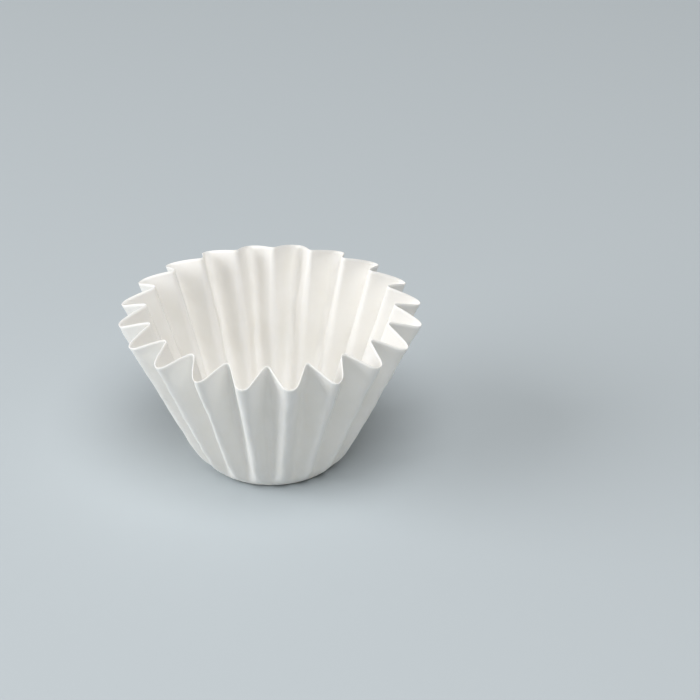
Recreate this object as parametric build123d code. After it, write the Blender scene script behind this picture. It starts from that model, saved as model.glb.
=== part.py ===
from build123d import *
from math import atan, cos, degrees, pi, radians, sin, sqrt, tan
import os

os.makedirs("parts", exist_ok=True)

# Flat-bottomed paper coffee filter: one round sheet pressed into a fluted cup.
# Millimetres, +Z up, origin at the centre of the underside of the base.

# Sheet before pressing
sheet_diameter = 155.0
paper_thickness = 0.25

# Cup
base_diameter = 44.6
rim_diameter = 94.0
base_corner_radius = 3.0
base_corner_angle = 50.0

# Flutes, with the sizes of their folds at the rim
flute_count = 20
rim_flute_depth = 8.7
base_flute_depth = 2.6
ridge_fold_radius = 2.4
ridge_fold_strips = 5
valley_fold_width = 1.0

# Every point of the rim is one slant length from the edge of the base, as it was on the flat sheet.
base_radius = base_diameter / 2
slant_length = sheet_diameter / 2 - base_radius
rim_ridge_radius = rim_diameter / 2
rim_valley_radius = rim_ridge_radius - rim_flute_depth


def rim_height(radius):
    return sqrt(slant_length**2 - (radius - base_radius) ** 2)


ridge_height = rim_height(rim_ridge_radius)
valley_height = rim_height(rim_valley_radius)

# Ridge and valley lines: a radius at the base that grows evenly with height
base_ridge_radius = base_radius + base_flute_depth / 3
base_valley_radius = base_ridge_radius - base_flute_depth
ridge_growth = (rim_ridge_radius - base_ridge_radius) / ridge_height
valley_growth = (rim_valley_radius - base_valley_radius) / valley_height

# The forms run past both ends of the wall, and a turned form trims them.
overrun = 2 * base_corner_radius
top_height = valley_height + overrun
half_pitch = pi / flute_count

# Each flute widens from a point below the base, where it meets a corner of the core.
corner_radius = base_valley_radius / cos(half_pitch)
corner_growth = valley_growth / cos(half_pitch)
apex_height = (corner_radius - base_ridge_radius) / (ridge_growth - corner_growth)
apex = Vector(base_ridge_radius + ridge_growth * apex_height, 0, apex_height)

# The ridge folds about an axis that lies just inside the ridge line.
ridge_line = Vector(rim_ridge_radius, 0, ridge_height) - apex
fold_angle = atan(ridge_fold_radius / ridge_line.length)
fold_axis = ridge_line.normalized().rotate(Axis.Y, -degrees(fold_angle))

# Each side of the flute is flat. It leaves the fold smoothly and meets the flat valley along a crease.
valley_middle = Vector(rim_valley_radius, 0, valley_height).rotate(Axis.Z, degrees(half_pitch))
valley_across = Vector(0, -valley_fold_width / 2, 0).rotate(Axis.Z, degrees(half_pitch))
crease = (valley_middle + valley_across - apex).normalized()
from_crease = fold_axis - crease * fold_axis.dot(crease)
lean = sin(fold_angle) / from_crease.length
side_normal = crease.cross(from_crease.normalized()) * sqrt(1 - lean**2) - from_crease.normalized() * lean
side_start = (fold_axis + side_normal * sin(fold_angle)).normalized()
# Past the crease the side runs on into the core.
side_end = (crease + (crease - side_start) / 2).normalized()


def flute():
    """One ridge and its two sides, from the apex to past the rim, with the ridge folded in flat strips."""
    length = (top_height - apex.Z) / fold_axis.Z + overrun
    fold_centre = apex + fold_axis * length
    ridge_out = ridge_line.normalized() / cos(fold_angle) - fold_axis
    half_turn = ridge_out.get_angle(side_start / cos(fold_angle) - fold_axis)
    bend = 2 * half_turn / (ridge_fold_strips + 1)
    corner_out = ridge_out * (length / cos(radians(bend / 2)))
    fold_line = Axis((0, 0, 0), fold_axis)
    ridge_corners = [
        fold_centre + corner_out.rotate(fold_line, bend * (step + 0.5) - half_turn)
        for step in range(ridge_fold_strips + 1)
    ]
    inner = apex + side_end * (length / side_end.dot(fold_axis))
    return ConvexPolyhedron([apex, *ridge_corners, inner, (inner.X, -inner.Y, inner.Z)])


def core(inset):
    """The many-sided form that the flat valleys lie on."""
    drawn_in = inset / cos(atan(valley_growth)) / cos(half_pitch)
    corners = [
        Vector(corner_radius + corner_growth * z - drawn_in, 0, z).rotate(Axis.Z, 360 / flute_count * side)
        for z in (-overrun, top_height)
        for side in range(flute_count)
    ]
    return ConvexPolyhedron(corners)


def fluted_form(inset):
    """The core and the flutes around it, each drawn in by the inset."""
    drawn_in = fold_axis * (inset / sin(fold_angle))
    return core(inset) + PolarLocations(0, flute_count) * (Pos(drawn_in) * flute())


def turned_form(inset):
    """The cup's envelope: a flat base, its rounded corner, and the cone that the rim lies on."""
    corner = Vector(base_radius - base_corner_radius * 2 / 3, base_corner_radius)
    down = Vector(0, inset - base_corner_radius)
    bend_start, bend_middle, bend_end = (
        corner + down.rotate(Axis.Z, base_corner_angle * share) for share in (0, 0.5, 1)
    )
    reach = rim_ridge_radius + overrun
    shoulder = Vector(reach, bend_end.Y + (reach - bend_end.X) * tan(radians(base_corner_angle)))
    rim_fall = (valley_height - ridge_height) / rim_flute_depth
    rim_middle = Vector(0, ridge_height + rim_fall * rim_ridge_radius)
    rim_edge = rim_middle + Vector(reach, -rim_fall * reach)
    outline = Line((0, inset), bend_start)
    outline += ThreePointArc(bend_start, bend_middle, bend_end)
    outline += Polyline(bend_end, shoulder, rim_edge, rim_middle, (0, inset))
    return revolve(Plane.XZ * make_face(outline), Axis.Z)


def cup(inset):
    return fluted_form(inset) & turned_form(inset)


paper_filter = cup(0) - cup(paper_thickness)
export_step(paper_filter, "parts/paper_filter.step")
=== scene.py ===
import math
import random

import bpy
import numpy as np
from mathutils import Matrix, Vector, noise


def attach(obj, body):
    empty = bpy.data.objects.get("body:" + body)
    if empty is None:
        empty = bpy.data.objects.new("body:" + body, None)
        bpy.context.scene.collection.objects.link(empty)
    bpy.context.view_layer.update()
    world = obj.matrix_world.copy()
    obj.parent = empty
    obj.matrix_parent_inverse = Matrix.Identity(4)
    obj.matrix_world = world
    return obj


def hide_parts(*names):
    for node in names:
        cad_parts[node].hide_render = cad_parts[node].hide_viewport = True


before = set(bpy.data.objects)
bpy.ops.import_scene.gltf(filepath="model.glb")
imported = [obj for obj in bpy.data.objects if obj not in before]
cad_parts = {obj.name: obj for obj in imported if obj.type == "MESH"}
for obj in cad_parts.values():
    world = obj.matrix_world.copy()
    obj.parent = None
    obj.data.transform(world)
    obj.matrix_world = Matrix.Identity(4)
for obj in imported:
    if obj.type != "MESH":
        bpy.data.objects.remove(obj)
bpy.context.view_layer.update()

scene = bpy.context.scene
scene.view_settings.view_transform = "Standard"

MM = 0.001

# The cup in millimetres, as the CAD has it
SHEET_RADIUS = 77.5
PAPER = 0.25
BASE_RADIUS = 22.3
CORNER_RADIUS = 3.0
CORNER_ANGLE = math.radians(50)
FLUTES = 20
RIM_RIDGE = 47.0
RIM_DEPTH = 8.7
BASE_DEPTH = 2.6
FOLD_RADIUS = 2.4
VALLEY_WIDTH = 1.0

SLANT = SHEET_RADIUS - BASE_RADIUS
PITCH = 2 * math.pi / FLUTES
RIM_VALLEY = RIM_RIDGE - RIM_DEPTH
BASE_RIDGE = BASE_RADIUS + BASE_DEPTH / 3
BASE_VALLEY = BASE_RIDGE - BASE_DEPTH
CORNER_MIDDLE = BASE_RADIUS - CORNER_RADIUS * 2 / 3

# How finely the sheet is divided, with the rows of the base as shares of its radius
FOLD_STEPS = 4
SIDE_STEPS = 11
VALLEY_STEPS = 2
WALL_ROWS = 56
CORNER_ROWS = 8
BASE_ROWS = (0.96, 0.9, 0.8, 0.6, 0.3)

# How the flutes' sides ease apart near the base, fading out between two heights in millimetres
SIDE_SPREAD = 1.7
SPREAD_HEIGHTS = (4, 28)
EVEN_HEIGHTS = (5, 25)

# How much each pass rounds the folds, around the cup and up the wall, by height in millimetres
EASE_TIMES = 80
EASE_HEIGHTS = (1.5, 4, 10, 20, 50)
EASE_AROUND = (0.9, 0.2, 0.12, 0.05, 0.025)
ALONG_HEIGHTS = (3, 9)
EASE_ALONG = 0.15

# How far a valley's crease reaches towards the ridge, and the share of the rounding it is spared
CREASE_REACH = 0.5
CREASE_HEIGHTS = (3, 8)
CREASE_KEPT = 0.7

# How the edge of the base lifts, in millimetres
LIFT_START = 17
LIFT_WIDTH = 4.5
LIFT_HEIGHTS = (1.5, 7)
EDGE_LIFT = 0.5

# How far the pressed paper strays from the drawn cup, in millimetres
RIDGE_SWING = 0.45
SIDE_BULGE = 0.35
TIP_LIFT = 0.4
RIDGE_WOBBLE = 0.5
RIDGE_DENT = 0.25
LIMPNESS = 0.2
UNEVENNESS = 0.04
LOOSE_HEIGHT = 6

# What makes each flute its own
FLUTE_SEED = 20

# The waves in the paper: their size in millimetres, and how far along a line in the noise they are read
NOISE_LINE = (1, 0.7, -1)
WOBBLE_WAVES = (8.0, 3.1)
FINE_WOBBLE_WAVES = (3.0, 6.4)
FINE_WOBBLE_SHARE = 0.5
DENT_WAVES = (5.0, 1.7)
LIMP_WAVES = (11.0, 8.3)
UNEVEN_WAVES = (3.0, 5.7)

# The photograph's camera, in millimetres, with a valley of the cup facing it
CAMERA_AT = (24.4, -753.4, 463.1)
CAMERA_DOWN = math.radians(29.5)
CAMERA_LENS = 144.0
TURN = PITCH / 2

# Light and floor in metres, with places given from the camera's side (right, away, up)
LAMP_AIM = (0, 0, 0.03)
LAMP_SIZE = 1.6
KEY_AT = (-1.62, -0.40, 0.80)
KEY_WATTS = 26.0
KEY_COLOUR = (0.975, 0.985, 1.0)
TOP_AT = (0.22, -0.70, 1.86)
TOP_WATTS = 28.5
TOP_COLOUR = (0.98, 0.99, 1.0)
WORLD_COLOUR = (1.0, 0.96, 0.92, 1)
WORLD_STRENGTH = 0.2
FLOOR_REACH = 6
FLOOR_COLOUR = (0.508, 0.555, 0.58, 1)

# The two ends of the paper's faint clouding
PAPER_SHADE = (0.905, 0.886, 0.842, 1)
PAPER_LIGHT = (0.93, 0.914, 0.88, 1)


def unit(v):
    return v / np.linalg.norm(v, axis=-1, keepdims=True)


def rim_height(radius):
    return math.sqrt(SLANT**2 - (radius - BASE_RADIUS) ** 2)


def turned(v, angle):
    c, s = math.cos(angle), math.sin(angle)
    return np.array([c * v[0] - s * v[1], s * v[0] + c * v[1], v[2]])


def about(v, axis, angle):
    """v turned about an axis through the origin."""
    return (
        v * math.cos(angle)
        + np.cross(axis, v) * math.sin(angle)
        + axis * (axis @ v) * (1 - math.cos(angle))
    )


def corner_radius(z):
    """Radius of the base's rounded corner, and of the cone that carries it on, at a height."""
    bend_height = CORNER_RADIUS * (1 - math.cos(CORNER_ANGLE))
    if z < bend_height:
        return CORNER_MIDDLE + math.sqrt(CORNER_RADIUS**2 - (CORNER_RADIUS - z) ** 2)
    bend_radius = CORNER_MIDDLE + CORNER_RADIUS * math.sin(CORNER_ANGLE)
    return bend_radius + (z - bend_height) / math.tan(CORNER_ANGLE)


def last_inside(start, way, inside, halvings=50):
    """The furthest point along a line for which the test holds."""
    low, high = 0.0, 2 * SLANT
    for _ in range(halvings):
        middle = (low + high) / 2
        if inside(start + way * middle):
            low = middle
        else:
            high = middle
    return start + way * low


def below_rim(p):
    return math.hypot(math.hypot(p[0], p[1]) - BASE_RADIUS, p[2]) < SLANT


def below_corner(p):
    return math.hypot(p[0], p[1]) > corner_radius(p[2])


def half_flute():
    """Lines up the wall from mid ridge to mid valley, each as its ends at the base's corner and the rim."""
    half = PITCH / 2
    ridge_growth = (RIM_RIDGE - BASE_RIDGE) / rim_height(RIM_RIDGE)
    valley_growth = (RIM_VALLEY - BASE_VALLEY) / rim_height(RIM_VALLEY)
    z = (BASE_VALLEY / math.cos(half) - BASE_RIDGE) / (ridge_growth - valley_growth / math.cos(half))
    apex = np.array([BASE_RIDGE + ridge_growth * z, 0, z])

    ridge = np.array([RIM_RIDGE, 0, rim_height(RIM_RIDGE)]) - apex
    fold_angle = math.atan(FOLD_RADIUS / np.linalg.norm(ridge))
    ridge = unit(ridge)
    axis = about(ridge, np.array([0.0, 1.0, 0.0]), -fold_angle)

    valley_floor = turned(np.array([BASE_VALLEY, 0, 0]), half)
    valley_rim = turned(np.array([RIM_VALLEY, 0, rim_height(RIM_VALLEY)]), half)
    crease = unit(valley_rim + turned(np.array([0, -VALLEY_WIDTH / 2, 0]), half) - apex)
    beside = axis - crease * (axis @ crease)
    lean = math.sin(fold_angle) / np.linalg.norm(beside)
    beside = unit(beside)
    normal = np.cross(crease, beside) * math.sqrt(1 - lean**2) - beside * lean
    side = unit(axis + normal * math.sin(fold_angle))
    out_ridge = unit(ridge - axis * (ridge @ axis))
    out_side = unit(side - axis * (side @ axis))
    turn = math.acos(out_ridge @ out_side)

    ways = [about(ridge, axis, turn * i / FOLD_STEPS) for i in range(FOLD_STEPS)]
    ways += [unit(side + (crease - side) * i / SIDE_STEPS) for i in range(SIDE_STEPS + 1)]
    lines = [(apex - way * (apex[2] / way[2]), way) for way in ways]
    crease_floor = lines[-1][0]
    valley_way = unit(valley_rim - valley_floor)
    for i in range(1, VALLEY_STEPS + 1):
        share = i / VALLEY_STEPS
        lines.append((
            crease_floor + (valley_floor - crease_floor) * share,
            unit(crease + (valley_way - crease) * share),
        ))
    return [(last_inside(p, way, below_corner), last_inside(p, way, below_rim)) for p, way in lines]


def drawn_half(lines):
    """Half a flute's outer face as drawn, row by row from the rim down to the edge of the flat base."""
    corner, rim = (np.array(ends) for ends in zip(*lines))
    rows = [rim + (corner - rim) * (i / WALL_ROWS) for i in range(WALL_ROWS)]
    way = unit(corner * [1, 1, 0])
    for i in range(CORNER_ROWS + 1):
        z = corner[:, 2] * (1 - i / CORNER_ROWS) ** 2
        radius = np.array([corner_radius(height) for height in z])
        rows.append(way * radius[:, None] + np.stack([0 * z, 0 * z, z], axis=1))
    return rows


def respaced(row):
    """A row's points, spread evenly round the cup near the base, where the flutes' sides ease apart."""
    angle = np.arctan2(row[:, 1], row[:, 0])
    even = np.linspace(angle[0], angle[-1], len(angle))
    mean_height = row[:, 2].mean()
    new_angle = angle + (even - angle) * np.interp(mean_height, EVEN_HEIGHTS, (1, 0))
    drawn_angle = new_angle / np.interp(mean_height, SPREAD_HEIGHTS, (SIDE_SPREAD, 1))
    radius = np.interp(drawn_angle, angle, np.hypot(row[:, 0], row[:, 1]))
    height = np.interp(drawn_angle, angle, row[:, 2])
    return np.stack([radius * np.cos(new_angle), radius * np.sin(new_angle), height], axis=1)


def drawn_rows():
    """Rows all round the cup, each column's share of a ridge (1) or a valley (0), and its flute."""
    half = np.array([respaced(row) for row in drawn_half(half_flute())])
    count = half.shape[1] - 1
    share = 1 - np.arange(count + 1) / count
    one = np.concatenate([half[:, :0:-1] * [1, -1, 1], half[:, :-1]], axis=1)
    one_share = np.concatenate([share[:0:-1], share[:-1]])
    flutes = [[[turned(p, k * PITCH) for p in row] for row in one] for k in range(FLUTES)]
    rows = np.concatenate(flutes, axis=1)
    return rows, np.tile(one_share, FLUTES), np.repeat(np.arange(FLUTES), 2 * count)


def eased(rows, ridge):
    """Rounds the folds, more near the base than at the rim, and ridges more than valleys."""
    height = rows[..., 2:3]
    valley = np.interp(ridge, (0, CREASE_REACH), (1, 0))[None, :, None]
    around = np.interp(height, EASE_HEIGHTS, EASE_AROUND)
    around = around * (1 - valley * np.interp(height, CREASE_HEIGHTS, (0, CREASE_KEPT)))
    along = np.interp(height[1:-1], ALONG_HEIGHTS, (EASE_ALONG, 0))
    for _ in range(EASE_TIMES):
        rows = rows + around * ((np.roll(rows, 1, axis=1) + np.roll(rows, -1, axis=1)) / 2 - rows)
        rows[1:-1] += along * ((rows[:-2] + rows[2:]) / 2 - rows[1:-1])
    return rows


def wavy(points, size, offset):
    """Smooth noise, about -1 to 1, at each point."""
    shift = Vector([offset * v for v in NOISE_LINE])
    values = [noise.noise(Vector(p) + shift) for p in points.reshape(-1, 3) / size]
    return np.array(values).reshape(*points.shape[:-1], 1)


def normals(rows):
    around = np.roll(rows, -1, axis=1) - np.roll(rows, 1, axis=1)
    along = np.gradient(rows, axis=0)
    return unit(np.cross(along, around))


def pressed(rows, ridge, flute):
    """The rows as limp paper holds them: no two flutes are alike, and nothing is quite straight."""
    chance = random.Random(FLUTE_SEED)
    swing, bulge, lift = (
        np.array([chance.uniform(-1, 1) for _ in range(FLUTES)])[flute][None, :, None]
        for _ in range(3)
    )
    ridge = ridge[None, :, None]
    height = rows[..., 2:3] / rim_height(RIM_VALLEY)
    loose = np.clip(rows[..., 2:3] / LOOSE_HEIGHT, 0, 1)
    out = unit(rows * [1, 1, 0])
    across = np.stack([-out[..., 1], out[..., 0], 0 * out[..., 0]], axis=2)

    rows = rows + across * (RIDGE_SWING * swing * ridge * height)
    rows = rows + out * (SIDE_BULGE * bulge * 4 * ridge * (1 - ridge) * height)
    rows[..., 2:3] += TIP_LIFT * lift * ridge * height**4
    face = normals(rows)
    wobble = wavy(rows, *WOBBLE_WAVES) + FINE_WOBBLE_SHARE * wavy(rows, *FINE_WOBBLE_WAVES)
    rows = rows + across * (RIDGE_WOBBLE * wobble * ridge**2 * loose)
    rows = rows + face * (RIDGE_DENT * wavy(rows, *DENT_WAVES) * ridge**3 * loose)
    rows = rows + face * (LIMPNESS * wavy(rows, *LIMP_WAVES) * loose)
    return rows + face * (UNEVENNESS * wavy(rows, *UNEVEN_WAVES) * loose)


def lifted(rows):
    """The edge of the base stands a little off the floor."""
    share = np.clip((np.hypot(rows[..., 0], rows[..., 1]) - LIFT_START) / LIFT_WIDTH, 0, 1)
    rows[..., 2] += EDGE_LIFT * share**2 * np.interp(rows[..., 2], LIFT_HEIGHTS, (1, 0))
    return rows


def paper_faces(count_rows, count):
    """Quads of the outer face, the inner face and the cut edge, and the fans that close the base."""
    size = count_rows * count
    last = size - count
    faces = []
    for j in range(count):
        k = (j + 1) % count
        for i in range(0, last, count):
            quad = (i + j, i + count + j, i + count + k, i + k)
            faces.append(quad)
            faces.append(tuple(size + v for v in reversed(quad)))
        faces.append((j, k, size + k, size + j))
        faces.append((last + k, last + j, 2 * size))
        faces.append((size + last + j, size + last + k, 2 * size + 1))
    return faces


def paper_sheet():
    """The sheet as a closed mesh: an outer face, an inner face one thickness away, and the cut edge."""
    rows, ridge, flute = drawn_rows()
    wall = pressed(eased(rows, ridge), ridge, flute)
    base = [wall[-1] * share for share in BASE_ROWS]
    outer = lifted(np.concatenate([wall, base]))
    inner = outer - normals(outer) * PAPER
    middle = [[0, 0, 0], [0, 0, PAPER]]
    points = np.concatenate([outer.reshape(-1, 3), inner.reshape(-1, 3), middle]) * MM

    mesh = bpy.data.meshes.new("fluted_paper")
    mesh.from_pydata(points.tolist(), [], paper_faces(*outer.shape[:2]))
    mesh.shade_smooth()
    piece = bpy.data.objects.new("fluted_paper", mesh)
    scene.collection.objects.link(piece)
    return piece


def set_inputs(node, **inputs):
    for name, value in inputs.items():
        node.inputs[name.replace("_", " ")].default_value = value


def add_node(tree, kind, **inputs):
    made = tree.nodes.new(kind)
    set_inputs(made, **inputs)
    return made


def paper_material():
    """Soft bleached paper: matted fibres, faint clouding and a little light through it."""
    material = bpy.data.materials.new("filter_paper")
    material.use_nodes = True
    tree = material.node_tree
    shader = tree.nodes["Principled BSDF"]
    set_inputs(shader, Roughness=0.9, Specular_IOR_Level=0.2, Sheen_Weight=0.1, Sheen_Roughness=0.6)
    set_inputs(shader, Subsurface_Weight=0.3, Subsurface_Radius=(1.0, 0.92, 0.8), Subsurface_Scale=0.0008)

    place = add_node(tree, "ShaderNodeTexCoord")
    clouds = add_node(tree, "ShaderNodeTexNoise", Scale=120.0, Detail=5.0, Roughness=0.6)
    fibres = add_node(
        tree, "ShaderNodeTexNoise", Scale=1500.0, Detail=6.0, Roughness=0.7, Distortion=1.4
    )
    tint = add_node(tree, "ShaderNodeValToRGB")
    tint.color_ramp.elements[0].position = 0.3
    tint.color_ramp.elements[0].color = PAPER_SHADE
    tint.color_ramp.elements[1].position = 0.7
    tint.color_ramp.elements[1].color = PAPER_LIGHT
    bump = add_node(tree, "ShaderNodeBump", Strength=0.35, Distance=0.00012)
    link = tree.links.new
    link(place.outputs["Object"], clouds.inputs["Vector"])
    link(place.outputs["Object"], fibres.inputs["Vector"])
    link(clouds.outputs["Fac"], tint.inputs["Fac"])
    link(tint.outputs["Color"], shader.inputs["Base Color"])
    link(fibres.outputs["Fac"], bump.inputs["Height"])
    link(bump.outputs["Normal"], shader.inputs["Normal"])
    return material


def floor_material():
    material = bpy.data.materials.new("pale_floor")
    material.use_nodes = True
    shader = material.node_tree.nodes["Principled BSDF"]
    set_inputs(shader, Base_Color=FLOOR_COLOUR, Roughness=0.8, Specular_IOR_Level=0.2)
    return material


def in_view(x, y, z):
    """A point given from the camera's side (right, away, up, in metres), in the cup's frame."""
    return Vector(turned(np.array([x, y, z]), TURN))


def add_camera():
    data = bpy.data.cameras.new("camera")
    data.lens = CAMERA_LENS
    camera = bpy.data.objects.new("camera", data)
    camera.location = in_view(*(v * MM for v in CAMERA_AT))
    camera.rotation_euler = (math.pi / 2 - CAMERA_DOWN, 0, TURN)
    scene.collection.objects.link(camera)
    scene.camera = camera


def add_lamp(name, at, watts, colour):
    data = bpy.data.lights.new(name, "AREA")
    data.shape = "DISK"
    data.size = LAMP_SIZE
    data.energy = watts
    data.color = colour
    lamp = bpy.data.objects.new(name, data)
    lamp.location = in_view(*at)
    lamp.rotation_euler = (in_view(*LAMP_AIM) - lamp.location).to_track_quat("-Z", "Y").to_euler()
    scene.collection.objects.link(lamp)


def add_light():
    add_lamp("key", KEY_AT, KEY_WATTS, KEY_COLOUR)
    add_lamp("top", TOP_AT, TOP_WATTS, TOP_COLOUR)
    world = bpy.data.worlds.new("studio")
    world.use_nodes = True
    set_inputs(world.node_tree.nodes["Background"], Color=WORLD_COLOUR, Strength=WORLD_STRENGTH)
    scene.world = world


def add_floor():
    mesh = bpy.data.meshes.new("floor")
    corners = [(x * FLOOR_REACH, y * FLOOR_REACH, 0) for x, y in ((-1, -1), (1, -1), (1, 1), (-1, 1))]
    mesh.from_pydata(corners, [], [(0, 1, 2, 3)])
    floor = bpy.data.objects.new("floor", mesh)
    floor.data.materials.append(floor_material())
    scene.collection.objects.link(floor)


add_camera()
add_light()
add_floor()

paper = paper_sheet()
paper.data.materials.append(paper_material())
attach(paper, "root")
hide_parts("paper_filter")
